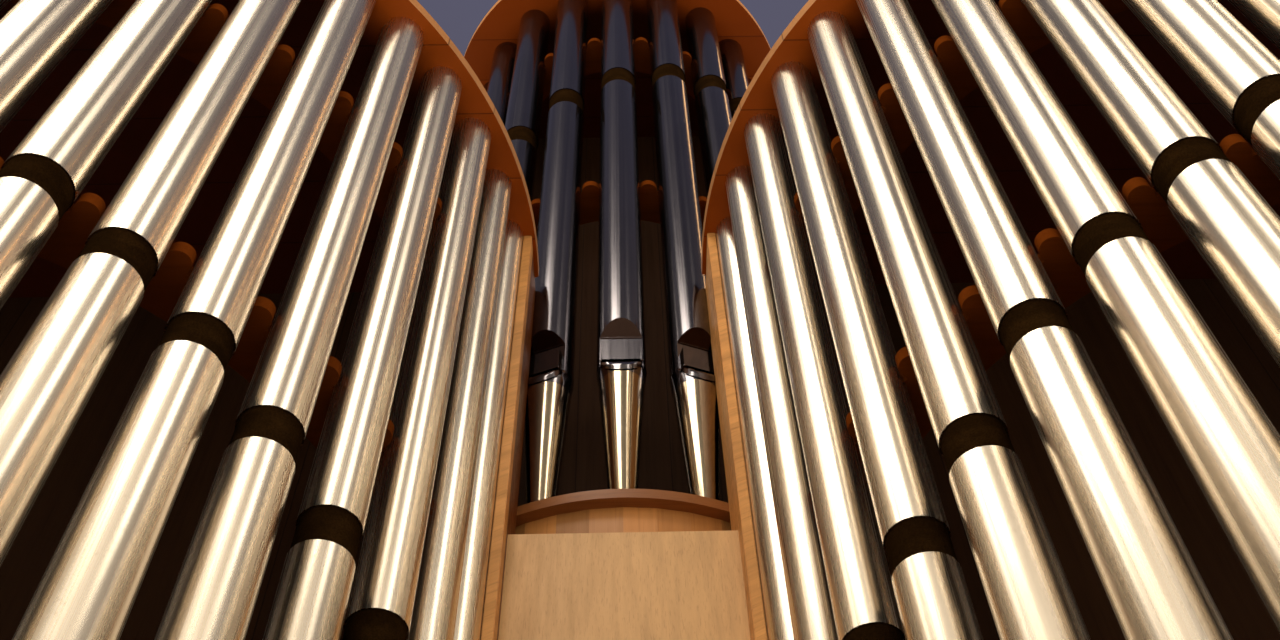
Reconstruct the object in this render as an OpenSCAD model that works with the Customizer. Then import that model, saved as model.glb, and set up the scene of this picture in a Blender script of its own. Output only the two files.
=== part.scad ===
// Pipe organ case with two wide half-round side towers and a tall, narrow half-round tower between
// them. Millimetres, +Z up. The front faces -Y. The origin is on the floor, at the middle of the
// outline. Left and right are as seen from the front.

/* [Case] */
// Depth from the middle of the side towers to the back
back_depth = 1790; // [1700:10:2200]
// Height of the plinth
plinth_h = 120; // [80:5:200]
// How far the plinth stands back from the boards above it
plinth_set = 25; // [5:1:60]
// Thickness of the outer boards, posts and back
board_t = 42; // [30:1:60]
// Thickness of the inner boards and of the flat panel
inner_t = 30; // [18:1:40]
// How far the outer face of a post stands past the circle of the side pipes
post_past = 86; // [84:1:100]
// Clear space between the last pipe and the post behind it
post_gap = 6; // [4:1:12]
// How far an inner wall overlaps the posts at its ends
wall_lap = 20; // [10:1:28]
// How far the flat panel stands in front of the middle of the towers
panel_set = 16; // [5:1:26]
// Height of the top of the flat panel between the posts
panel_top = 4100; // [3900:10:4200]
// Thickness of the side and centre roofs
roof_t = 50; // [30:1:80]
// Width of the staves that make up a curved board
stave_w = 95; // [60:5:150]

/* [Side towers] */
// Distance from the middle of the organ to the middle of a side tower
tower_x = 1780; // [1765:5:1900]
// Radius of the circle on which the side pipes stand
tower_r = 1390; // [1320:5:1400]
// How far the side roof reaches out past that circle
roof_over = 100; // [95:1:140]
// Height of the top of the side toe boards
side_toe_z = 1120; // [900:10:1300]
// Height of the underside of the side roofs
side_top_z = 5480; // [5300:10:5600]
// Number of pipes in each half of a side tower
side_n = 11; // [8:1:12]
// Angle of the last pipe from the front of its tower
side_last = 85.5; // [84:0.5:86]
// Diameter of the pipe beside the middle of a side tower
side_d = 152; // [120:1:160]
// How much smaller each next pipe is
side_d_step = 3.2; // [0:0.1:4]
// Height of the foot of a side pipe
side_foot = 450; // [300:5:600]
// Height of the joint on the last pipe of the left tower
side_ring_z = 3060; // [2700:10:3300]
// How much higher the joint is on each next pipe towards the middle
side_ring_step = 97; // [60:1:120]
// How much lower the joints of the right tower's outer pipes are
ring_drop = 60; // [0:5:80]
// Number of pipes beside the middle of the right tower that keep the left tower's joint heights
level_n = 6; // [1:1:11]
// Height of the lower rack in the side towers
side_rack_low = 3840; // [3500:10:4000]
// Height of the upper rack in the side towers
side_rack_high = 4850; // [4600:10:5100]

/* [Centre tower] */
// How far the middle of the centre tower lies behind the middle of the side towers
centre_back = 850; // [845:1:900]
// Radius of the circle on which the centre pipes stand
centre_r = 712; // [690:1:724]
// How far the centre roof reaches out past that circle
centre_over = 220; // [200:1:260]
// Height of the top of the centre toe board
centre_toe_z = 4375; // [4330:5:4500]
// Height of the underside of the centre roof
centre_top_z = 8410; // [8200:10:8600]
// Number of pipes in the centre tower
centre_n = 9; // [5:2:9]
// Angle between two centre pipes
centre_step = 19.75; // [18:0.25:20]
// Diameter of the centre pipes
centre_d = 165; // [150:1:180]
// Height of the foot of a centre pipe
centre_foot = 620; // [450:5:700]
// Height of the joint on the middle pipe
centre_ring_z = 7120; // [6900:10:7200]
// How much higher the joint is on each next pipe to the right
centre_ring_step = 133; // [60:1:150]
// Height of the lower rack in the centre tower
centre_rack_low = 6280; // [6100:10:6400]
// Height of the upper rack in the centre tower
centre_rack_high = 7780; // [7770:10:7900]
// Clear space around the centre tower in the side roofs
centre_clear = 42; // [30:1:60]
// Depth of the cheeks in front of the middle of the centre tower
cheek_front = 80; // [40:5:120]

/* [Toe boards and racks] */
// Thickness of a toe board
toe_t = 37; // [25:1:50]
// How far a toe board reaches out past the circle of its pipes on a side tower
side_toe_over = 74; // [60:1:80]
// How far the centre toe board reaches out past the circle of its pipes
centre_toe_over = 60; // [40:1:65]
// How far the board below a toe board stands back
toe_set = 37; // [32:1:60]
// Thickness of the curved boards below the toe boards
shell_t = 40; // [25:1:60]
// Depth of the centre toe board behind the middle of its tower
centre_toe_back = 300; // [200:5:400]
// Thickness of a rack
rack_t = 34; // [20:1:50]
// Width of a rack
rack_w = 165; // [130:5:260]
// How far the band of a rack stands back from the circle of the pipes
rack_back = 35; // [30:1:50]
// How far the rounded tips of a rack reach past the circle of the pipes
rack_tip = 8; // [0:1:20]
// Clear space on each side of such a tip
tip_gap = 2; // [1:0.5:6]

/* [Pipes] */
// Thickness of the pipe metal
pipe_t = 3; // [2:0.1:5]
// Height of the dark joint between the lower and upper tube of a side pipe
ring_gap = 94; // [60:1:120]
// Height of the same joint on a centre pipe
centre_ring_gap = 138; // [80:1:150]
// How deep the joint sleeve sits in each tube
sleeve_in = 50; // [30:1:80]
// Clearance between a pipe and the sleeve or rack that holds it
fit = 0.3; // [0.1:0.05:0.5]
// Radius of a foot's tip, as a share of the pipe's radius
tip_share = 0.24; // [0.15:0.01:0.4]
// Depth of the flat upper lip from the axis, as a share of the radius
lip_share = 0.5; // [0.4:0.01:0.7]
// Height of the mouth slot, as a share of the radius
slot_share = 0.34; // [0.2:0.01:0.5]
// Height of the flat lip above the foot, as a share of the radius
plate_share = 1.76; // [1.2:0.02:2]
// Height of the arch top above the foot, as a share of the radius
arch_share = 2.5; // [2.2:0.02:3]
// Height of the sloping lower lip, as a share of the radius
lower_share = 0.62; // [0.4:0.02:0.8]
// Thickness of the ears beside the mouth
ear_t = 3; // [2:0.5:5]

/* [Hidden] */
big_fn = 180;
pipe_fn = 48;
over = 1;
honey = [0.78, 0.61, 0.40];
dark_wood = [0.25, 0.13, 0.07];
tin = [0.85, 0.84, 0.81];
black = [0.08, 0.06, 0.05];

roof_r = tower_r + roof_over;
tower_y = roof_r - (roof_r + back_depth) / 2;
back_y = tower_y + back_depth;
side_toe_r = tower_r + side_toe_over;
shell_r = side_toe_r - toe_set;
last_r = (side_d - side_d_step * (side_n - 1)) / 2;
post_out = tower_r + post_past;
post_face = post_out - board_t;
post_front = floor(tower_r * cos(side_last) - last_r - post_gap);
bay = tower_x - post_out;
centre_y = tower_y + centre_back;
centre_toe_r = centre_r + centre_toe_over;
hole_r = centre_r + centre_d / 2 + centre_clear;
post_back_y = floor(centre_y - sqrt(centre_toe_r * centre_toe_r - bay * bay) - fit);
wall_y = post_back_y - wall_lap;
wall_set = wall_y - tower_y;
centre_roof_r = centre_r + centre_over;
centre_wall_y = centre_y + centre_toe_back / 2;

// Places, sizes and joint heights of the pipes
function side_r(k) = (side_d - side_d_step * k) / 2;
function side_angle(k) = (k + 0.5) * side_last / (side_n - 0.5);
function side_ring(side, k) = side_ring_z + side_ring_step * (side_n - 1 - k)
    - (side > 0 && k >= level_n ? ring_drop : 0);
function centre_k() = [-(centre_n - 1) / 2 : (centre_n - 1) / 2];
function centre_ring(k) = centre_ring_z + centre_ring_step * k;

// Radius of the rounded rack tip in the gap between pipes k and k + 1
function side_tip(k) = tower_r * sin(side_angle(0))
    - (side_r(max(k, 0)) + side_r(k + 1)) / 2 - tip_gap;
function centre_tip() = centre_r * sin(centre_step / 2) - centre_d / 2 - tip_gap;

// Number of flat staves round the front half of a curved board
function staves(r) = 2 * round(PI * r / 2 / stave_w);

// Places its children at each pipe of a side tower, turned to face outwards
module at_side_pipe(side, k, half) {
    at_side_angle(side, half * side_angle(k)) children();
}

module at_side_angle(side, angle) {
    translate([side * tower_x + tower_r * sin(angle), tower_y - tower_r * cos(angle), 0])
        rotate(angle) children();
}

module at_centre_pipe(k) {
    angle = k * centre_step;
    translate([centre_r * sin(angle), centre_y - centre_r * cos(angle), 0])
        rotate(angle) children();
}

// Flat shape of a half disc towards the front, running straight back by back
module half_disc(r, back) {
    intersection() {
        circle(r, $fn = big_fn);
        translate([-r, -r]) square([2 * r, r]);
    }
    translate([-r, 0]) square([2 * r, back]);
}

// Flat shape of a half ring of width w, with straight legs running back by back
module half_ring(r, w, back) {
    difference() {
        half_disc(r, back);
        circle(r - w, $fn = big_fn);
        translate([-(r - w), 0]) square([2 * (r - w), back + over]);
    }
}

// The same shapes made of n flat staves in place of the round front
module stave_disc(r, n, back) {
    front = [for (i = [0 : n]) [-r * cos(i * 180 / n), -r * sin(i * 180 / n)]];
    polygon(concat(front, [[r, back], [-r, back]]));
}

module stave_ring(r, w, back) {
    difference() {
        stave_disc(r, staves(r), back);
        stave_disc(r - w, staves(r), back + over);
    }
}

// Flat shape of a rounded rack tip of radius r, pointing forwards from the band behind it
module finger(r) {
    translate([0, r - rack_tip]) circle(r, $fn = pipe_fn);
    translate([-r, r - rack_tip]) square([2 * r, rack_w / 2]);
}

module slab(low, t) {
    translate([0, 0, low]) linear_extrude(t) children();
}

module box(x, y, z) {
    translate([x[0], y[0], z[0]]) cube([x[1] - x[0], y[1] - y[0], z[1] - z[0]]);
}

// A box given by its distances from the middle of the organ, on the side asked for
module side_box(side, x, y, z) {
    if (side > 0) box(x, y, z);
    else box([-x[1], -x[0]], y, z);
}

// What is cut from the front of a pipe: the sloping lower lip, the flat lip and the slope above it
module mouth_cut(r, foot, shift) {
    lip = lip_share * r;
    slope = (arch_share - plate_share) / (1 - lip_share);
    low = [-r, foot - lower_share * r];
    high = [-1.1 * r, foot + plate_share * r + slope * (1.1 * r - lip)];
    translate([0, shift, 0]) rotate([90, 0, 90]) translate([0, 0, -r - over])
        linear_extrude(2 * (r + over)) polygon([
            [-2 * r, low[1]], low, [-lip, foot], [-lip, foot + plate_share * r],
            high, [-2 * r, high[1]]
        ]);
}

// A front pipe from its toe board up to its joint: cone foot, mouth and hollow body
module lower_pipe(r, foot, z0, z1) {
    tall = z1 - z0;
    lip = lip_share * r;
    slot_w = 1.6 * r;
    ear_y = 0.95 * r;
    translate([0, 0, z0]) {
        difference() {
            rotate_extrude($fn = pipe_fn) polygon([
                [0, 0], [tip_share * r, 0], [r, foot], [r, tall], [0, tall]
            ]);
            mouth_cut(r, foot, 0);
            difference() {
                translate([0, 0, foot]) cylinder(r = r - pipe_t, h = tall - foot + over, $fn = pipe_fn);
                mouth_cut(r, foot, pipe_t);
            }
            translate([-slot_w / 2, -r, foot]) cube([slot_w, r - lip + pipe_t + over, slot_share * r]);
        }
        for (s = [-1, 1])
            translate([s * slot_w / 2 - ear_t / 2, -ear_y, foot - lower_share * r / 2])
                cube([ear_t, ear_y - lip + pipe_t, (lower_share / 2 + 2.5 * slot_share) * r]);
    }
}

module tube(r, z0, z1) {
    translate([0, 0, z0]) difference() {
        cylinder(r = r, h = z1 - z0, $fn = pipe_fn);
        translate([0, 0, -over]) cylinder(r = r - pipe_t, h = z1 - z0 + 2 * over, $fn = pipe_fn);
    }
}

module sleeve(r, ring_z, gap) {
    color(black) tube(r - pipe_t - fit, ring_z - sleeve_in, ring_z + gap + sleeve_in);
}

// Sub-parts of the case

module plinth() {
    half_w = tower_x + post_out - plinth_set;
    color(dark_wood) slab(0, plinth_h) {
        for (side = [-1, 1])
            translate([side * tower_x, tower_y]) half_disc(shell_r - plinth_set, wall_set);
        translate([-half_w, tower_y - post_front + plinth_set])
            square([2 * half_w, back_depth + post_front - 2 * plinth_set]);
    }
}

module base_front(side) {
    color(honey) slab(plinth_h, side_toe_z - toe_t - plinth_h) translate([side * tower_x, tower_y]) {
        stave_ring(shell_r, shell_t, wall_set);
        for (s = [-1, 1])
            translate([s > 0 ? shell_r - shell_t / 2 : -post_face, -post_front])
                square([post_face - shell_r + shell_t / 2, wall_set + post_front]);
    }
}

// The toe board overhangs the posts in front and fits between them behind
module toe_board(side) {
    color(honey) slab(side_toe_z - toe_t, toe_t) translate([side * tower_x, tower_y]) {
        intersection() {
            circle(side_toe_r, $fn = big_fn);
            translate([-side_toe_r, -side_toe_r]) square([2 * side_toe_r, side_toe_r - post_front]);
        }
        translate([-post_face, -post_front - over]) square([2 * post_face, post_front + over + wall_set]);
    }
}

module inner_post(side) {
    color(honey) side_box(side, [bay, bay + board_t], [tower_y - post_front, post_back_y],
        [plinth_h, side_top_z]);
}

module outer_post(side) {
    x = tower_x + post_face;
    color(honey) side_box(side, [x, x + board_t], [tower_y - post_front, post_back_y],
        [plinth_h, side_top_z]);
}

module side_wall(side) {
    x = tower_x + post_face;
    color(honey) side_box(side, [x, x + board_t], [post_back_y, back_y - board_t],
        [plinth_h, side_top_z]);
}

module inner_wall(side) {
    color(dark_wood) side_box(side, [bay + board_t, tower_x + post_face], [wall_y, wall_y + inner_t],
        [plinth_h, side_top_z]);
}

module back_wall() {
    x = tower_x + post_out;
    color(honey) box([-x, x], [back_y - board_t, back_y], [plinth_h, side_top_z]);
}

module roof(side) {
    color(honey) slab(side_top_z, roof_t) difference() {
        translate([side * tower_x, tower_y]) half_disc(roof_r, back_depth);
        translate([0, centre_y]) circle(hole_r, $fn = big_fn);
        translate([-hole_r, centre_y]) square([2 * hole_r, back_depth]);
    }
}

module side_rack(side, z) {
    color(honey) slab(z, rack_t) difference() {
        union() {
            translate([side * tower_x, tower_y]) half_ring(tower_r - rack_back, rack_w - rack_back, wall_set);
            for (half = [-1, 1], k = [0 : side_n - 2])
                at_side_angle(side, half * (side_angle(k) + side_angle(0))) finger(side_tip(k));
            at_side_angle(side, 0) finger(side_tip(-1));
        }
        for (half = [-1, 1], k = [0 : side_n - 1])
            at_side_pipe(side, k, half) circle(side_r(k) + fit, $fn = pipe_fn);
    }
}

module side_pipes(side) {
    color(tin) for (half = [-1, 1], k = [0 : side_n - 1])
        at_side_pipe(side, k, half) lower_pipe(side_r(k), side_foot, side_toe_z, side_ring(side, k));
}

module side_sleeves(side) {
    for (half = [-1, 1], k = [0 : side_n - 1])
        at_side_pipe(side, k, half) sleeve(side_r(k), side_ring(side, k), ring_gap);
}

module side_upper_tubes(side) {
    color(tin) for (half = [-1, 1], k = [0 : side_n - 1])
        at_side_pipe(side, k, half) tube(side_r(k), side_ring(side, k) + ring_gap, side_top_z);
}

// Sub-parts of the centre bay and the centre tower

module centre_panel() {
    front = tower_y - panel_set;
    color(honey) box([-bay, bay], [front, front + inner_t], [plinth_h, panel_top]);
}

module centre_shelf() {
    front = tower_y - panel_set + inner_t;
    low = panel_top - shell_t;
    color(honey) {
        box([-bay, bay], [front, wall_y + inner_t + over], [low, panel_top]);
        box([-centre_toe_r, centre_toe_r], [wall_y + inner_t, centre_y + centre_toe_back],
            [low, panel_top]);
    }
}

module centre_frieze() {
    low = panel_top;
    color(honey) slab(low, centre_toe_z - toe_t - low) translate([0, centre_y])
        stave_ring(centre_toe_r - toe_set, shell_t, centre_toe_back);
}

module centre_toe_board() {
    color(honey) slab(centre_toe_z - toe_t, toe_t) translate([0, centre_y])
        half_disc(centre_toe_r, centre_toe_back);
}

module centre_inner_wall() {
    color(dark_wood) box([-hole_r, hole_r], [centre_wall_y, centre_wall_y + inner_t],
        [centre_toe_z, centre_top_z]);
}

module centre_cheek(side) {
    color(honey) side_box(side, [hole_r, hole_r + board_t], [centre_y - cheek_front, back_y],
        [side_top_z + roof_t, centre_top_z]);
}

module centre_back_wall() {
    color(honey) box([-hole_r, hole_r], [back_y - board_t, back_y], [side_top_z, centre_top_z]);
}

module centre_rack(z) {
    color(honey) slab(z, rack_t) difference() {
        union() {
            translate([0, centre_y])
                half_ring(centre_r - rack_back, rack_w - rack_back, centre_wall_y - centre_y);
            for (k = [-(centre_n - 2) / 2 : (centre_n - 2) / 2]) at_centre_pipe(k) finger(centre_tip());
        }
        for (k = centre_k()) at_centre_pipe(k) circle(centre_d / 2 + fit, $fn = pipe_fn);
    }
}

module centre_pipes() {
    color(tin) for (k = centre_k()) at_centre_pipe(k)
        lower_pipe(centre_d / 2, centre_foot, centre_toe_z, centre_ring(k));
}

module centre_sleeves() {
    for (k = centre_k()) at_centre_pipe(k) sleeve(centre_d / 2, centre_ring(k), centre_ring_gap);
}

module centre_upper_tubes() {
    color(tin) for (k = centre_k()) at_centre_pipe(k)
        tube(centre_d / 2, centre_ring(k) + centre_ring_gap, centre_top_z);
}

module centre_roof() {
    color(honey) slab(centre_top_z, roof_t) translate([0, centre_y])
        half_disc(centre_roof_r, back_y - centre_y);
}

plinth();
back_wall();
centre_panel();
centre_shelf();
centre_frieze();
centre_toe_board();
base_front(-1);  // left_base_front
base_front(1);  // right_base_front
inner_post(-1);  // left_inner_post
inner_post(1);  // right_inner_post
outer_post(-1);  // left_outer_post
outer_post(1);  // right_outer_post
side_wall(-1);  // left_side_wall
side_wall(1);  // right_side_wall
inner_wall(-1);  // left_inner_wall
inner_wall(1);  // right_inner_wall
toe_board(-1);  // left_toe_board
toe_board(1);  // right_toe_board
side_rack(-1, side_rack_low);  // left_lower_rack
side_rack(1, side_rack_low);  // right_lower_rack
side_rack(-1, side_rack_high);  // left_upper_rack
side_rack(1, side_rack_high);  // right_upper_rack
roof(-1);  // left_roof
roof(1);  // right_roof
side_pipes(-1);  // left_pipes
side_pipes(1);  // right_pipes
side_sleeves(-1);  // left_sleeves
side_sleeves(1);  // right_sleeves
side_upper_tubes(-1);  // left_upper_tubes
side_upper_tubes(1);  // right_upper_tubes
centre_cheek(-1);  // centre_left_cheek
centre_cheek(1);  // centre_right_cheek
centre_inner_wall();
centre_back_wall();
centre_rack(centre_rack_low);  // centre_lower_rack
centre_rack(centre_rack_high);  // centre_upper_rack
centre_pipes();
centre_sleeves();
centre_upper_tubes();
centre_roof();
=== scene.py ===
"""Finish of the pipe organ: woods, tin and dark joints, mouth details, light and camera."""
import math
import random

import bmesh
import bpy
from mathutils import Matrix, Vector


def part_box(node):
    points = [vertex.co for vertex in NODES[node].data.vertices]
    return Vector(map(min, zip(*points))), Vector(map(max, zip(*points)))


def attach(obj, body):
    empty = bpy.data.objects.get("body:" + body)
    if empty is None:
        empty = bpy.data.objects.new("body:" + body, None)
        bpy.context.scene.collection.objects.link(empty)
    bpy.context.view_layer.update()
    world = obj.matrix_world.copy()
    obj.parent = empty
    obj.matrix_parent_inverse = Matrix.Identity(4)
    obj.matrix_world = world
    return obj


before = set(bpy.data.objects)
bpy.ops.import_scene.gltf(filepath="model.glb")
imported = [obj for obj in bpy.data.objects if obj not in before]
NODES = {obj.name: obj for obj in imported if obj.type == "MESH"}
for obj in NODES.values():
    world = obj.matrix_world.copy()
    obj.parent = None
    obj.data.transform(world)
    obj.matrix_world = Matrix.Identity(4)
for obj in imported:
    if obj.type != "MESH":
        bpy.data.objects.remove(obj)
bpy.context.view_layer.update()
random.seed(7)

# View of the photograph: the focal length is in pixels of the 1280 wide picture
PHOTO_WIDTH = 1280
FOCAL_PIXELS = 1300
SENSOR = 36.0
EYE = Vector((0.014, -2.583, 1.60))
TILT_UP = math.radians(55.23)
TURN_RIGHT = math.radians(1.16)
ROLL = math.radians(-1.87)

# Nearest and farthest distance that the camera sees, in metres
NEAREST = 0.05
FARTHEST = 300

# Middle and radius of the circle on which the pipes of each tower stand, in metres
PIPE_CIRCLES = {
    "left": ((-1.78, -0.15), 1.39),
    "right": ((1.78, -0.15), 1.39),
    "centre": ((0.0, 0.70), 0.712),
}

# Heights of the feet of the side and centre pipes in metres, as the part has them
SIDE_FOOT = 0.45
CENTRE_FOOT = 0.62

# Mouth of a pipe, as the part has it. Here and below, the measures of a mouth are shares of the
# pipe's radius: heights from the top of the foot, depths from the axis, widths from the middle.
PLATE_DEPTH = 0.5
PLATE_TOP = 1.76
LOWER_LIP = 0.62
EAR_SPREAD = 0.8
EAR_DEPTH = 0.95

# Radius of the foot's tip in the same shares, as the part has it
PART_TIP = 0.24

# Seam of the lower lip on the foot: height at its middle, and how much higher it is at its ends
SEAM_LOW = -0.92
SEAM_RISE = 0.50

# Lower lip: heights of its bend and its top edge, and depth of that edge
LIP_BEND = -0.56
LIP_TOP = -0.33
LIP_DEPTH = 0.80

# Half the width of the lower lip, how proud of the foot it is, its thickness and its grid
LIP_HALF = 0.78
LIP_PROUD = 0.03
LIP_THICK = 0.02
LIP_ROWS = 6
LIP_COLUMNS = 16

# Fuller cone over the foot: its radius at the toe board, and how proud of the foot its top is
FOOT_TIP = 0.5
FOOT_PROUD = 0.005
FOOT_SIDES = 40

# Bright creases across the mouth: height and thickness of each, and the gap at their ends
CREASES = ((PLATE_TOP, 0.045), (-0.01, 0.016))
CREASE_GAP = 0.03
CREASE_SIDES = 10

# Radius of the rolled ends of the ears
EAR_ROLL = 0.05

# Solder dot on the foot: its height, its radius, and how far it may turn from the front in radians
DOT_HEIGHT = -1.02
DOT_RADIUS = 0.035
DOT_TURN = 0.5

# Faces of the mouth trim that meet at more than this angle keep a sharp edge between them
SHARP = math.radians(45)

# Posts, and the lippings on their front edges in metres
POSTS = ("left_inner_post", "right_inner_post", "left_outer_post", "right_outer_post")
LIPPING_W = 0.029
LIPPING_DEPTH = 0.062
LIPPING_ROUND = 0.0025

# Points of a mesh closer than the first distance are one point, and points closer than the second
# to the top of a pipe are on its rim, in metres
SAME_POINT = 0.00001
RIM_DEPTH = 0.001

# Colours of the woods
HONEY = (0.62, 0.34, 0.125)
PALE = (0.66, 0.30, 0.085)
EDGE = (0.27, 0.09, 0.018)
ORANGE = (0.40, 0.076, 0.004)
ROOF_EDGE = (0.50, 0.21, 0.06)
STAVE = (0.50, 0.21, 0.052)
# Dark colour painted as shade on the faces along x of the left inner post
POST_SIDE_SHADE = (0.17, 0.045, 0.006)
RUST = (0.12, 0.026, 0.003)
BROWN = (0.045, 0.017, 0.005)

# Colours of the metal: side pipes; centre pipes, darkened as painted shade; and the lower part of the
# centre pipes' feet, lighter than the centre pipes as painted light
WARM_TIN = (0.70, 0.62, 0.51)
SHADED_CENTRE_TIN = (0.16, 0.15, 0.165)
LIGHTER_FOOT_TIN = (0.38, 0.31, 0.22)

# Threads of the dark cloth, deep and raised
CLOTH_DEEP = (0.009, 0.004, 0.001)
CLOTH_RAISED = (0.022, 0.010, 0.003)

# Tints that colours are multiplied by: pores, painted shadow under the roofs, spots on tin and painted
# shade on tin that faces down
PORE = (0.62, 0.55, 0.48)
SOFFIT_SHADOW = (0.17, 0.12, 0.10)
SPOT = (0.78, 0.74, 0.68)
DOWNWARD_SHADE = (0.26, 0.15, 0.095)

# Tones beside the colour itself: staves of the curved fronts, centre roof's soffit, darker as painted
# shade, and plinth
STAVE_TONES = (0.78, 1.0, 1.2)
CENTRE_SOFFIT_SHADE = 0.65
PLINTH_TONE = 1.6

# Tones of tin over a cloudy noise: places and factors
TIN_TONES = ((0.32, 0.80), (0.52, 1.0), (0.75, 1.15))

# Boards side by side: tone of the darkest, tone of their joints, how much deeper than the grain the
# joints are, and distance from a joint at which the wood has its full colour, in metres
DARKEST_BOARD = 0.78
JOINT_TONE = 0.25
JOINT_DEPTH = 3.0
JOINT_REACH = 0.003

# Widths of the boards in metres
INNER_BOARD = 0.19
CASE_BOARD = 0.22
ROOF_BOARD = 0.24

# Grain of the woods: factors along x, y and z, small along the fibres, and the turn of the posts'
UPRIGHT = (1, 1, 0.035)
PANEL_GRAIN = (1, 1, 0.12)
ACROSS = (0.035, 1, 1)
POST_GRAIN = (0.06, 1, 1)
POST_TURN = (0, 0.5, 0)

# Height in metres below which the feet of the centre pipes get a lighter, warmer colour, painted light
LIGHTER_FOOT_BELOW = 4.92

# Part of the normal from which a face counts as facing along an axis, and as an underside
FACES_ALONG = 0.7
FACES_DOWN = -0.5

# Where the painted shadow under a roof fades out, inside and outside the circle of the pipes, in
# metres
# The left inner post's faces along x are painted dark, as shade
SOFFIT_SHADOW_INSIDE = 0.10
SOFFIT_SHADOW_OUTSIDE = 0.03

# Look of a node by the end of its name: the first one that fits counts
LOOK_OF = {
    "centre_panel": "panel",
    "left_inner_post": "left_post_shaded_sides",
    "post": "plain_post",
    "toe_board": "board",
    "shelf": "board",
    "left_roof": "left_roof",
    "right_roof": "right_roof",
    "centre_roof": "centre_roof",
    "rack": "rack",
    "inner_wall": "inner",
    "side_wall": "side",
    "cheek": "side",
    "back_wall": "back",
    "plinth": "plinth",
    "sleeves": "sleeve",
    "centre_pipes": "shaded_centre_tin",
    "centre_upper_tubes": "shaded_centre_tin",
    "pipes": "tin",
    "upper_tubes": "tin",
}
STAVED = ("base_front", "frieze")

# Colours of the lamps
WARM_LIGHT = (1.0, 0.90, 0.74)
AMBER_LIGHT = (1.0, 0.87, 0.68)
ORANGE_LIGHT = (1.0, 0.55, 0.22)
PLAIN_LIGHT = (1.0, 0.98, 0.95)

# Lamps: place, the point that each is aimed at, width and height in metres, watts and colour
LAMPS = {
    "key_light": ((-3.4, -7.6, 14.2), (0.5, -1.5, 4.5), (5.6, 3.4), 740, WARM_LIGHT),
    "fill_light": ((-0.5, -6.5, 6.0), (0, 0, 3.5), (7.0, 5.0), 75, AMBER_LIGHT),
    "left_light": ((-7.9, -5.3, 13.5), (0, -1.5, 4.5), (2.0, 3.4), 120, WARM_LIGHT),
    "second_light": ((5.0, -7.5, 13.5), (0, -1.5, 4.5), (2.0, 3.2), 160, WARM_LIGHT),
    "right_light": ((5.6, -2.2, 7.2), (0, -0.5, 4.5), (0.15, 7.0), 35, ORANGE_LIGHT),
    "rim_light": ((3.4, 1.0, 9.0), (-1.2, -1.3, 4.0), (0.2, 5.0), 20, ORANGE_LIGHT),
    "back_light": ((0, 11.0, 8.0), (0, 0, 4.0), (8.0, 6.0), 600, PLAIN_LIGHT),
}

# Colour of the world that is seen and mirrored, from the horizon to straight up, by the height of
# the direction, and the colour and strength of the world as a light
SKY = (
    (0.30, (0.84, 0.84, 0.84)),
    (0.52, (0.55, 0.48, 0.40)),
    (0.72, (0.38, 0.32, 0.25)),
    (0.84, (0.10, 0.09, 0.115)),
    (0.97, (0.10, 0.10, 0.16)),
)
WORLD_LIGHT = (1.0, 0.95, 0.88)
WORLD_STRENGTH = 0.80

# Half the width of the floor in metres, and its two tones
FLOOR_HALF = 40.0
FLOOR_DARK = (0.74, 0.74, 0.74)
FLOOR_PALE = (0.80, 0.80, 0.79)


def shade(colour, factor):
    return tuple(part * factor for part in colour)


def grey(value):
    return (value, value, value)


# Tint that leaves a colour as it is
PLAIN = grey(1.0)


def set_stops(band, stops):
    """Gives a colour ramp its stops, each a place and a colour."""
    while len(band.elements) < len(stops):
        band.elements.new(0.5)
    for element, (where, colour) in zip(band.elements, stops):
        element.position = where
        element.color = (*colour, 1)


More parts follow.
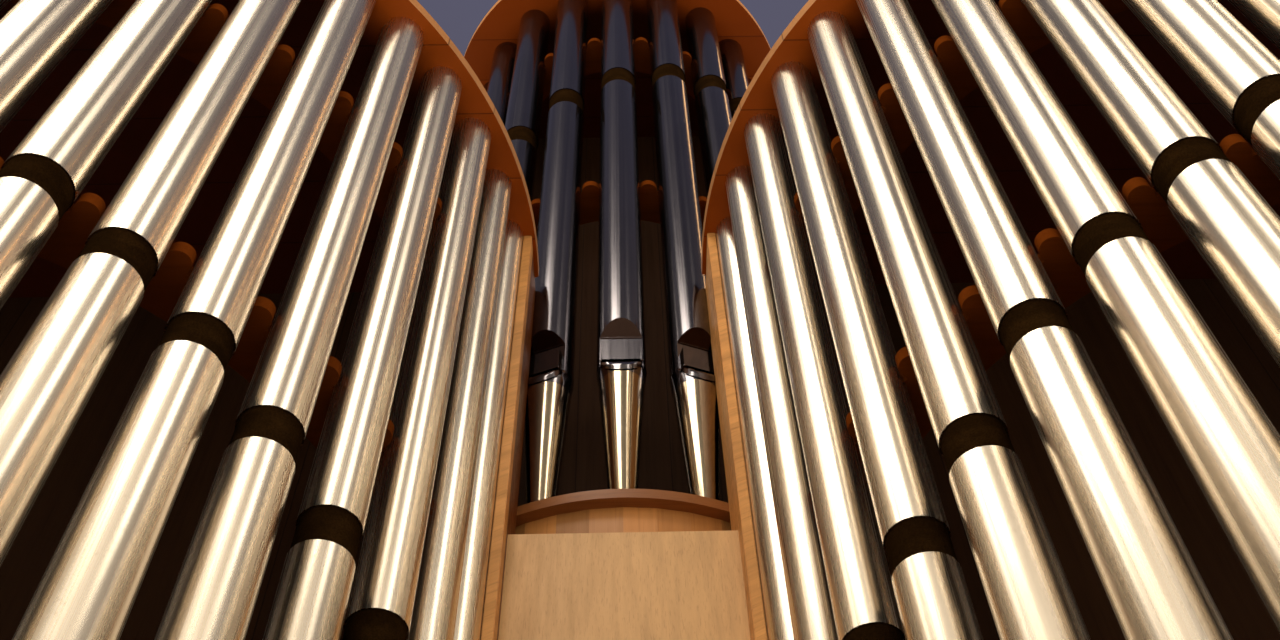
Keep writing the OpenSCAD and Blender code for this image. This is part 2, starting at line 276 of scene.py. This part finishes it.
class Shader:
    """A new material with short calls for its nodes."""

    def __init__(self, name):
        self.material = bpy.data.materials.new(name)
        self.material.use_nodes = True
        self.tree = self.material.node_tree
        self.surface = self.tree.nodes["Principled BSDF"]
        coords = self.node("ShaderNodeTexCoord")
        self.point = coords.outputs["Object"]
        self.facing = self.split(coords.outputs["Normal"])

    def node(self, kind, **settings):
        made = self.tree.nodes.new(kind)
        for key, value in settings.items():
            setattr(made, key, value)
        return made

    def feed(self, into, value):
        """Sets an input to a number, or links an output to it."""
        if isinstance(value, float):
            into.default_value = value
        else:
            self.tree.links.new(value, into)

    def split(self, vector):
        made = self.node("ShaderNodeSeparateXYZ")
        self.feed(made.inputs["Vector"], vector)
        return made.outputs

    def math(self, kind, first, second=0.0):
        made = self.node("ShaderNodeMath", operation=kind)
        self.feed(made.inputs[0], first)
        self.feed(made.inputs[1], second)
        return made.outputs["Value"]

    def place(self, scale, turn=(0, 0, 0)):
        """The point in the object, turned first and then stretched."""
        vector = self.point
        for name, value in (("Rotation", turn), ("Scale", scale)):
            mapping = self.node("ShaderNodeMapping")
            mapping.inputs[name].default_value = value
            self.feed(mapping.inputs["Vector"], vector)
            vector = mapping.outputs["Vector"]
        return vector

    def upright(self, factor):
        """The point with its height scaled: a small factor draws noise out into upright streaks."""
        return self.place((1, 1, factor))

    def noise(self, vector, scale, detail, rough=0.55, distort=0.0):
        made = self.node("ShaderNodeTexNoise")
        made.inputs["Scale"].default_value = scale
        made.inputs["Detail"].default_value = detail
        made.inputs["Roughness"].default_value = rough
        made.inputs["Distortion"].default_value = distort
        self.feed(made.inputs["Vector"], vector)
        return made.outputs["Fac"]

    def ramp(self, value, stops):
        made = self.node("ShaderNodeValToRGB")
        set_stops(made.color_ramp, stops)
        self.feed(made.inputs["Fac"], value)
        return made.outputs["Color"]

    def tones(self, value, colour, factors):
        """Tones of a colour over a value: each entry of factors is a place and a factor."""
        return self.ramp(value, [(where, shade(colour, factor)) for where, factor in factors])

    def mix(self, kind, share, first, second):
        made = self.node("ShaderNodeMix", data_type="RGBA", blend_type=kind)
        self.feed(made.inputs["Factor"], share)
        self.feed(made.inputs["A"], first)
        self.feed(made.inputs["B"], second)
        return made.outputs["Result"]

    def tinted(self, colours, share, value, *stops):
        """The colours times the tints of a ramp over a value, at a share of their full strength."""
        return self.mix("MULTIPLY", share, colours, self.ramp(value, stops))

    def colour(self, value):
        made = self.node("ShaderNodeRGB")
        made.outputs["Color"].default_value = (*value, 1)
        return made.outputs["Color"]

    def remap(self, value, low, high, low_out, high_out):
        made = self.node("ShaderNodeMapRange")
        made.inputs["From Min"].default_value = low
        made.inputs["From Max"].default_value = high
        made.inputs["To Min"].default_value = low_out
        made.inputs["To Max"].default_value = high_out
        self.feed(made.inputs["Value"], value)
        return made.outputs["Result"]

    def finish(self, colours, rough, height, strength, depth):
        """Gives the surface its colours, its roughness and a bump, and returns the material."""
        bump = self.node("ShaderNodeBump")
        bump.inputs["Strength"].default_value = strength
        bump.inputs["Distance"].default_value = depth
        self.feed(bump.inputs["Height"], height)
        self.feed(self.surface.inputs["Normal"], bump.outputs["Normal"])
        self.feed(self.surface.inputs["Base Color"], colours)
        self.feed(self.surface.inputs["Roughness"], rough)
        return self.material

    def along(self, axis):
        """1 where the surface faces along the named axis, either way, else 0."""
        return self.math("GREATER_THAN", self.math("ABSOLUTE", self.facing[axis]), FACES_ALONG)

    def underside(self):
        """1 where the surface faces down, else 0."""
        return self.math("LESS_THAN", self.facing["Z"], FACES_DOWN)

    def under_case(self, middle, radius):
        """1 on the underside, within a half circle that runs straight back, else 0: where a roof gets
        its painted shadow.
        """
        x, y, _ = self.split(self.point)
        across = self.math("SUBTRACT", x, middle[0])
        forward = self.math("MINIMUM", self.math("SUBTRACT", y, middle[1]), 0.0)
        squares = self.math("ADD", self.math("POWER", across, 2.0), self.math("POWER", forward, 2.0))
        reach = self.math("SQRT", squares)
        inside = self.remap(reach, radius - SOFFIT_SHADOW_INSIDE, radius + SOFFIT_SHADOW_OUTSIDE, 1.0, 0.0)
        return self.math("MULTIPLY", inside, self.underside())

    def boards(self, axis, width):
        """Boards of one width side by side: a tone for each, and 0 in the joints between them."""
        along = self.math("MULTIPLY", self.split(self.point)[axis], 1 / width)
        tone = self.node("ShaderNodeTexWhiteNoise", noise_dimensions="1D")
        self.feed(tone.inputs["W"], self.math("FLOOR", along))
        joint = self.remap(self.math("PINGPONG", along, 0.5), 0.0, JOINT_REACH / width, 0.0, 1.0)
        return tone.outputs["Value"], joint


def wood(name, colour, grain, turn=(0, 0, 0), rough=0.45, contrast=1.0, pore=110.0, gloss=0.35,
         sides=None, under=None, boards=None):
    """Planed wood whose grain is stretched by the factors in grain, and turned.

    contrast is the strength of its tones, and pore the scale of its pores. sides is an axis and
    the colour painted as shade on the faces along it. under is the colour of the underside, and the
    middle and radius of the part of it that gets a painted dark shadow, within the case. boards is
    the axis and the width of boards laid side by side.
    """
    shader = Shader(name)
    fibres = shader.place(grain, turn)
    broad = shader.noise(fibres, scale=3.0, detail=3, rough=0.5, distort=0.6)
    fine = shader.noise(fibres, scale=34.0, detail=5, rough=0.65)
    pores = shader.noise(fibres, scale=pore, detail=2, rough=0.6)
    dark = 1 - 0.20 * contrast
    light = 1 + 0.12 * contrast
    factors = ((0.25, dark), (0.5, 1.0), (0.78, light))
    colours = shader.tones(broad, colour, factors)
    # Painted shade: the faces along the axis get the other colour
    if sides:
        axis, other = sides
        colours = shader.mix("MIX", shader.along(axis), colours, shader.tones(broad, other, factors))
    streak = grey(1 - 0.30 * contrast)
    colours = shader.tinted(colours, 0.8, fine, (0.3, streak), (0.62, PLAIN))
    colours = shader.tinted(colours, 0.45 * contrast, pores, (0.32, PORE), (0.44, PLAIN))
    if under:
        beneath, middle, radius = under
        soffit = shader.tones(broad, beneath, factors)
        colours = shader.mix("MIX", shader.underside(), colours, soffit)
        # Painted shadow: the underside within the circle of the pipes is darkened to stand in for the
        # shade behind the pipes
        soffit_shadow = shader.under_case(middle, radius)
        colours = shader.tinted(colours, 1.0, soffit_shadow, (0.0, PLAIN), (1.0, SOFFIT_SHADOW))
    height = fine
    if boards:
        tone, joint = shader.boards(*boards)
        colours = shader.tinted(colours, 0.9, tone, (0.0, grey(DARKEST_BOARD)), (1.0, PLAIN))
        colours = shader.tinted(colours, 1.0, joint, (0.0, grey(JOINT_TONE)), (1.0, PLAIN))
        height = shader.math("ADD", fine, shader.math("MULTIPLY", joint, JOINT_DEPTH))
    shader.surface.inputs["Specular IOR Level"].default_value = gloss
    sheen = shader.remap(fine, 0.3, 0.7, rough + 0.08, rough - 0.05)
    return shader.finish(colours, sheen, height, strength=0.25, depth=0.0006)


def tin(name, colour, rough, foot=None):
    """Planed organ metal: a soft mirror with long upright streaks and faint stains, and painted brown
    shade on faces that look down.

    foot is a height and the colour of the metal below it; on the centre pipes that colour is painted
    light on the feet.
    """
    shader = Shader(name)
    bands = shader.noise(shader.upright(0.004), scale=20.0, detail=1, rough=0.5)
    streaks = shader.noise(shader.upright(0.001), scale=150.0, detail=2, rough=0.5)
    cloud = shader.noise(shader.upright(0.25), scale=3.0, detail=4, rough=0.6, distort=0.4)
    spots = shader.noise(shader.upright(0.8), scale=60.0, detail=3, rough=0.7)
    colours = shader.tones(cloud, colour, TIN_TONES)
    if foot:
        limit, other = foot
        below = shader.math("LESS_THAN", shader.split(shader.point)["Z"], limit)
        colours = shader.mix("MIX", below, colours, shader.colour(other))
    colours = shader.tinted(colours, 0.5, spots, (0.26, SPOT), (0.40, PLAIN))
    colours = shader.tinted(colours, 0.7, streaks, (0.30, grey(0.92)), (0.60, PLAIN))
    # Painted shade and reflection: faces that look down are tinted dark brown
    down = shader.math("MULTIPLY", shader.facing["Z"], -1.0)
    colours = shader.tinted(colours, 1.0, down, (0.20, PLAIN), (0.30, DOWNWARD_SHADE))
    shader.surface.inputs["Metallic"].default_value = 1.0
    sheen = shader.remap(streaks, 0.3, 0.7, rough, rough + 0.06)
    height = shader.math("ADD", bands, shader.math("MULTIPLY", streaks, 0.003))
    return shader.finish(colours, sheen, height, strength=0.2, depth=0.0018)


def dark_cloth():
    """Dark cloth of the joint sleeves."""
    shader = Shader("dark_sleeve")
    weave = shader.noise(shader.upright(1), scale=260.0, detail=3, rough=0.6)
    wear = shader.noise(shader.upright(2), scale=9.0, detail=3, rough=0.6)
    cloth = shader.ramp(weave, ((0.3, CLOTH_DEEP), (0.7, CLOTH_RAISED)))
    colours = shader.tinted(cloth, 0.8, wear, (0.45, grey(0.6)), (0.7, grey(1.3)))
    shader.surface.inputs["Specular IOR Level"].default_value = 0.0
    return shader.finish(colours, 0.6, weave, strength=0.3, depth=0.0008)


def post_wood(name, sides=None):
    return wood(name, PALE, POST_GRAIN, POST_TURN, contrast=1.2, gloss=0.15, sides=sides)


def finishes():
    """The materials by the names of their looks."""
    looks = {
        "panel": wood("panel_wood", HONEY, PANEL_GRAIN, contrast=0.9, pore=260.0),
        "left_post_shaded_sides": post_wood("left_post_wood", sides=("X", POST_SIDE_SHADE)),
        "plain_post": post_wood("plain_post_wood"),
        "board": wood("board_wood", EDGE, ACROSS, contrast=0.8),
        "rack": wood("rack_wood", RUST, ACROSS, rough=0.7, contrast=0.7, gloss=0.0),
        "inner": wood("inner_wood", BROWN, UPRIGHT, rough=0.7, gloss=0.08, boards=("X", INNER_BOARD)),
        "side": wood("side_wood", HONEY, UPRIGHT, contrast=0.8, boards=("Y", CASE_BOARD)),
        "back": wood("back_wood", HONEY, UPRIGHT, contrast=0.8, boards=("X", CASE_BOARD)),
        "plinth": wood("plinth_wood", shade(BROWN, PLINTH_TONE), ACROSS, rough=0.5),
        "tin": tin("tin", WARM_TIN, 0.24),
        # The centre pipes are a darker copy of the tin, painted shade, with feet lighter as painted
        # light
        "shaded_centre_tin": tin("shaded_centre_tin", SHADED_CENTRE_TIN, 0.13, (LIGHTER_FOOT_BELOW, LIGHTER_FOOT_TIN)),
        "sleeve": dark_cloth(),
    }
    for name, (middle, radius) in PIPE_CIRCLES.items():
        # The centre roof's soffit is darkened as painted shade
        soffit = shade(ORANGE, CENTRE_SOFFIT_SHADE if name == "centre" else 1.0)
        looks[name + "_roof"] = wood(name + "_roof_wood", ROOF_EDGE, ACROSS, contrast=0.6, gloss=0.12,
                                     under=(soffit, middle, radius), boards=("Y", ROOF_BOARD))
    for number, tone in enumerate(STAVE_TONES):
        stave = wood("stave_wood_%d" % number, shade(STAVE, tone), UPRIGHT, contrast=0.7)
        looks["stave_%d" % number] = stave
    return looks


def dress_nodes(looks):
    """Gives every node of the part its material."""
    for name, node in NODES.items():
        node.data.materials.clear()
        if name.endswith(STAVED):
            dress_staves(node, looks)
            continue
        ending = next(ending for ending in LOOK_OF if name.endswith(ending))
        node.data.materials.append(looks[LOOK_OF[ending]])


def dress_staves(node, looks):
    """Gives each flat stave of a curved board one of the tones, the same on its two triangles."""
    for number in range(len(STAVE_TONES)):
        node.data.materials.append(looks["stave_%d" % number])
    tone_of = {}
    for face in node.data.polygons:
        key = (round(face.normal.x, 3), round(face.normal.y, 3))
        tone_of.setdefault(key, random.randrange(len(STAVE_TONES)))
        face.material_index = tone_of[key]


class Pipe:
    """A front pipe, found as one loose solid of its node's mesh."""

    def __init__(self, points, middle, foot):
        low = min(point.z for point in points)
        top = max(point.z for point in points)
        rim = [point.xy for point in points if point.z > top - RIM_DEPTH]
        self.axis = sum(rim, Vector((0, 0))) / len(rim)
        self.r = max((point - self.axis).length for point in rim)
        self.out = (self.axis - middle).normalized()
        self.foot = foot
        self.mouth_z = low + foot

    def at(self, side, depth, height):
        """The point at these shares of the radius sideways, outwards and above the foot."""
        across = Vector((-self.out.y, self.out.x))
        flat = self.axis + (across * side + self.out * depth) * self.r
        return Vector((*flat, self.mouth_z + height * self.r))

    def foot_radius(self, height):
        """Radius of the part's cone foot at a height, both as shares of the pipe's radius."""
        return 1.0 + (1 - PART_TIP) * height * self.r / self.foot


def loose_solids(mesh):
    """The corner points of each loose solid of a mesh."""
    work = bmesh.new()
    work.from_mesh(mesh)
    bmesh.ops.remove_doubles(work, verts=work.verts, dist=SAME_POINT)
    found = set()
    for first in work.verts:
        if first in found:
            continue
        found.add(first)
        group = [first]
        for vert in group:
            for edge in vert.link_edges:
                near = edge.other_vert(vert)
                if near not in found:
                    found.add(near)
                    group.append(near)
        yield [vert.co.copy() for vert in group]
    work.free()


def front_pipes():
    """The name of each tower with its pipes."""
    for name, (middle, _) in PIPE_CIRCLES.items():
        foot = CENTRE_FOOT if name == "centre" else SIDE_FOOT
        solids = loose_solids(NODES[name + "_pipes"].data)
        yield name, [Pipe(points, Vector(middle), foot) for points in solids]


def bead(work, place, radius):
    made = bmesh.ops.create_uvsphere(work, u_segments=14, v_segments=8, radius=radius)
    bmesh.ops.translate(work, vec=place, verts=made["verts"])


def crease(work, pipe, height, thick):
    """A bright rod across the flat plate of the mouth."""
    half = math.sqrt(1 - PLATE_DEPTH ** 2) - CREASE_GAP
    start = pipe.at(-half, PLATE_DEPTH, height)
    end = pipe.at(half, PLATE_DEPTH, height)
    way = end - start
    radius = thick * pipe.r
    made = bmesh.ops.create_cone(work, cap_ends=True, segments=CREASE_SIDES, radius1=radius,
                                 radius2=radius, depth=way.length)
    turn = way.to_track_quat("Z", "Y").to_matrix().to_4x4()
    middle = Matrix.Translation((start + end) / 2)
    bmesh.ops.transform(work, matrix=middle @ turn, verts=made["verts"])


def seam_height(share):
    """Height of the lower lip's seam at a share of its half width."""
    return SEAM_LOW + SEAM_RISE * share ** 2


def lower_lip(work, pipe):
    """The lower lip, a thin plate on the front of the foot, pressed in towards its top edge."""
    grid = []
    for row in range(LIP_ROWS + 1):
        line = []
        for column in range(LIP_COLUMNS + 1):
            share = 2 * column / LIP_COLUMNS - 1
            low = seam_height(share)
            height = low + (LIP_TOP - low) * row / LIP_ROWS
            side = LIP_HALF * share
            round_front = math.sqrt(pipe.foot_radius(height) ** 2 - side ** 2)
            pressed = min(max((height - LIP_BEND) / (LIP_TOP - LIP_BEND), 0), 1)
            depth = round_front + pressed * (LIP_DEPTH - round_front)
            line.append(work.verts.new(pipe.at(side, depth + LIP_PROUD, height)))
        grid.append(line)
    faces = []
    for below, above in zip(grid, grid[1:]):
        for i in range(LIP_COLUMNS):
            faces.append(work.faces.new((below[i], below[i + 1], above[i + 1], above[i])))
    bmesh.ops.recalc_face_normals(work, faces=faces)
    bmesh.ops.solidify(work, geom=faces, thickness=LIP_THICK * pipe.r)


def foot_cone(work, pipe):
    """A fuller cone over the foot, from the middle of the lip's seam down to the toe board."""
    top = pipe.mouth_z + SEAM_LOW * pipe.r
    low = pipe.mouth_z - pipe.foot
    top_radius = (pipe.foot_radius(SEAM_LOW) + FOOT_PROUD) * pipe.r
    made = bmesh.ops.create_cone(work, cap_ends=True, segments=FOOT_SIDES, radius1=FOOT_TIP * pipe.r,
                                 radius2=top_radius, depth=top - low)
    bmesh.ops.translate(work, vec=(*pipe.axis, (top + low) / 2), verts=made["verts"])


def solder_dot(work, pipe):
    """A drop of solder on the foot, a little to one side of its front."""
    turn = random.uniform(-DOT_TURN, DOT_TURN)
    reach = pipe.foot_radius(DOT_HEIGHT)
    place = pipe.at(reach * math.sin(turn), reach * math.cos(turn), DOT_HEIGHT)
    bead(work, place, DOT_RADIUS * pipe.r)


def mouth_trim(name, pipes, look):
    """Creases, rolled ear ends, lower lips, foot cones and solder dots of a tower's pipes."""
    whole = bmesh.new()
    part = bpy.data.meshes.new(name + "_part")
    for pipe in pipes:
        work = bmesh.new()
        for height, thick in CREASES:
            crease(work, pipe, height, thick)
        for side in (-EAR_SPREAD, EAR_SPREAD):
            bead(work, pipe.at(side, EAR_DEPTH - EAR_ROLL, -LOWER_LIP / 2), EAR_ROLL * pipe.r)
        lower_lip(work, pipe)
        foot_cone(work, pipe)
        solder_dot(work, pipe)
        work.to_mesh(part)
        work.free()
        whole.from_mesh(part)
    bpy.data.meshes.remove(part)
    mesh = finish_piece(name + "_mouth_trim", whole, look).data
    mesh.shade_smooth()
    mesh.set_sharp_from_angle(angle=SHARP)


def post_edges(look):
    """Pale lippings on the front of the posts, from the toe boards up to the roofs.

    Each is flush with the side of its post that faces away from the tower's pipes.
    """
    work = bmesh.new()
    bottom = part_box("left_toe_board")[1][2]
    for name in POSTS:
        low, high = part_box(name)
        flush_low = name.endswith("inner_post") == name.startswith("right")
        x = low[0] if flush_low else high[0] - LIPPING_W
        top = high[2]
        made = bmesh.ops.create_cube(work, size=1.0)["verts"]
        bmesh.ops.scale(work, vec=(LIPPING_W, LIPPING_DEPTH, top - bottom), verts=made)
        place = (x + LIPPING_W / 2, low[1] - LIPPING_DEPTH / 2, (bottom + top) / 2)
        bmesh.ops.translate(work, vec=place, verts=made)
    bmesh.ops.bevel(work, geom=work.edges[:], offset=LIPPING_ROUND, segments=2, affect="EDGES")
    finish_piece("post_lippings", work, look)


def finish_piece(name, work, look):
    """Makes a piece of the mesh in work, with its finish, and fixes it to the organ."""
    mesh = bpy.data.meshes.new(name)
    work.to_mesh(mesh)
    work.free()
    mesh.materials.append(look)
    piece = bpy.data.objects.new(name, mesh)
    bpy.context.scene.collection.objects.link(piece)
    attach(piece, "root")
    return piece


def camera():
    ahead = Vector((math.sin(TURN_RIGHT), math.cos(TURN_RIGHT), 0))
    forward = ahead * math.cos(TILT_UP) + Vector((0, 0, math.sin(TILT_UP)))
    level_up = Vector((0, 0, math.cos(TILT_UP))) - ahead * math.sin(TILT_UP)
    level_right = Vector((ahead.y, -ahead.x, 0))
    right = level_right * math.cos(ROLL) + level_up * math.sin(ROLL)
    up = level_up * math.cos(ROLL) - level_right * math.sin(ROLL)
    data = bpy.data.cameras.new("camera")
    data.sensor_width = SENSOR
    data.lens = SENSOR * FOCAL_PIXELS / PHOTO_WIDTH
    data.clip_start = NEAREST
    data.clip_end = FARTHEST
    cam = bpy.data.objects.new("camera", data)
    turn = Matrix((right, up, -forward)).transposed()
    cam.matrix_world = Matrix.Translation(EYE) @ turn.to_4x4()
    bpy.context.scene.collection.objects.link(cam)
    bpy.context.scene.camera = cam


def lamps():
    for name, (place, target, size, power, colour) in LAMPS.items():
        data = bpy.data.lights.new(name, "AREA")
        data.shape = "RECTANGLE"
        data.size, data.size_y = size
        data.energy = power
        data.color = colour
        lamp = bpy.data.objects.new(name, data)
        lamp.location = place
        lamp.visible_camera = False
        bpy.context.scene.collection.objects.link(lamp)
        way = Vector(target) - lamp.location
        lamp.rotation_mode = "QUATERNION"
        lamp.rotation_quaternion = way.to_track_quat("-Z", "Y")


def background():
    """World that looks pale at the horizon and dim overhead, also in mirrors, but gives even light."""
    world = bpy.data.worlds.new("studio")
    bpy.context.scene.world = world
    world.use_nodes = True
    nodes = world.node_tree.nodes
    link = world.node_tree.links.new
    nodes.clear()
    coords = nodes.new("ShaderNodeTexCoord")
    height = nodes.new("ShaderNodeSeparateXYZ")
    sky = nodes.new("ShaderNodeValToRGB")
    path = nodes.new("ShaderNodeLightPath")
    seen = nodes.new("ShaderNodeBackground")
    lit = nodes.new("ShaderNodeBackground")
    mixed = nodes.new("ShaderNodeMixShader")
    out = nodes.new("ShaderNodeOutputWorld")
    set_stops(sky.color_ramp, SKY)
    link(coords.outputs["Generated"], height.inputs["Vector"])
    link(height.outputs["Z"], sky.inputs["Fac"])
    link(sky.outputs["Color"], seen.inputs["Color"])
    lit.inputs["Color"].default_value = (*WORLD_LIGHT, 1)
    lit.inputs["Strength"].default_value = WORLD_STRENGTH
    share = path.outputs["Is Camera Ray"]
    for other in ("Is Glossy Ray", "Is Transmission Ray"):
        either = nodes.new("ShaderNodeMath")
        either.operation = "MAXIMUM"
        link(share, either.inputs[0])
        link(path.outputs[other], either.inputs[1])
        share = either.outputs["Value"]
    link(share, mixed.inputs["Fac"])
    link(lit.outputs["Background"], mixed.inputs[1])
    link(seen.outputs["Background"], mixed.inputs[2])
    link(mixed.outputs["Shader"], out.inputs["Surface"])


def floor():
    corners = [(x * FLOOR_HALF, y * FLOOR_HALF, 0) for x, y in ((-1, -1), (1, -1), (1, 1), (-1, 1))]
    mesh = bpy.data.meshes.new("floor")
    mesh.from_pydata(corners, [], [(0, 1, 2, 3)])
    ground = bpy.data.objects.new("floor", mesh)
    bpy.context.scene.collection.objects.link(ground)
    shader = Shader("pale_floor")
    specks = shader.noise(shader.point, scale=6.0, detail=3)
    colours = shader.ramp(specks, ((0.3, FLOOR_DARK), (0.7, FLOOR_PALE)))
    shader.feed(shader.surface.inputs["Base Color"], colours)
    shader.feed(shader.surface.inputs["Roughness"], 0.8)
    mesh.materials.append(shader.material)


bpy.context.scene.view_settings.view_transform = "Standard"
camera()
looks = finishes()
dress_nodes(looks)
for name, pipes in front_pipes():
    mouth_trim(name, pipes, looks["shaded_centre_tin" if name == "centre" else "tin"])
post_edges(looks["plain_post"])
lamps()
background()
floor()
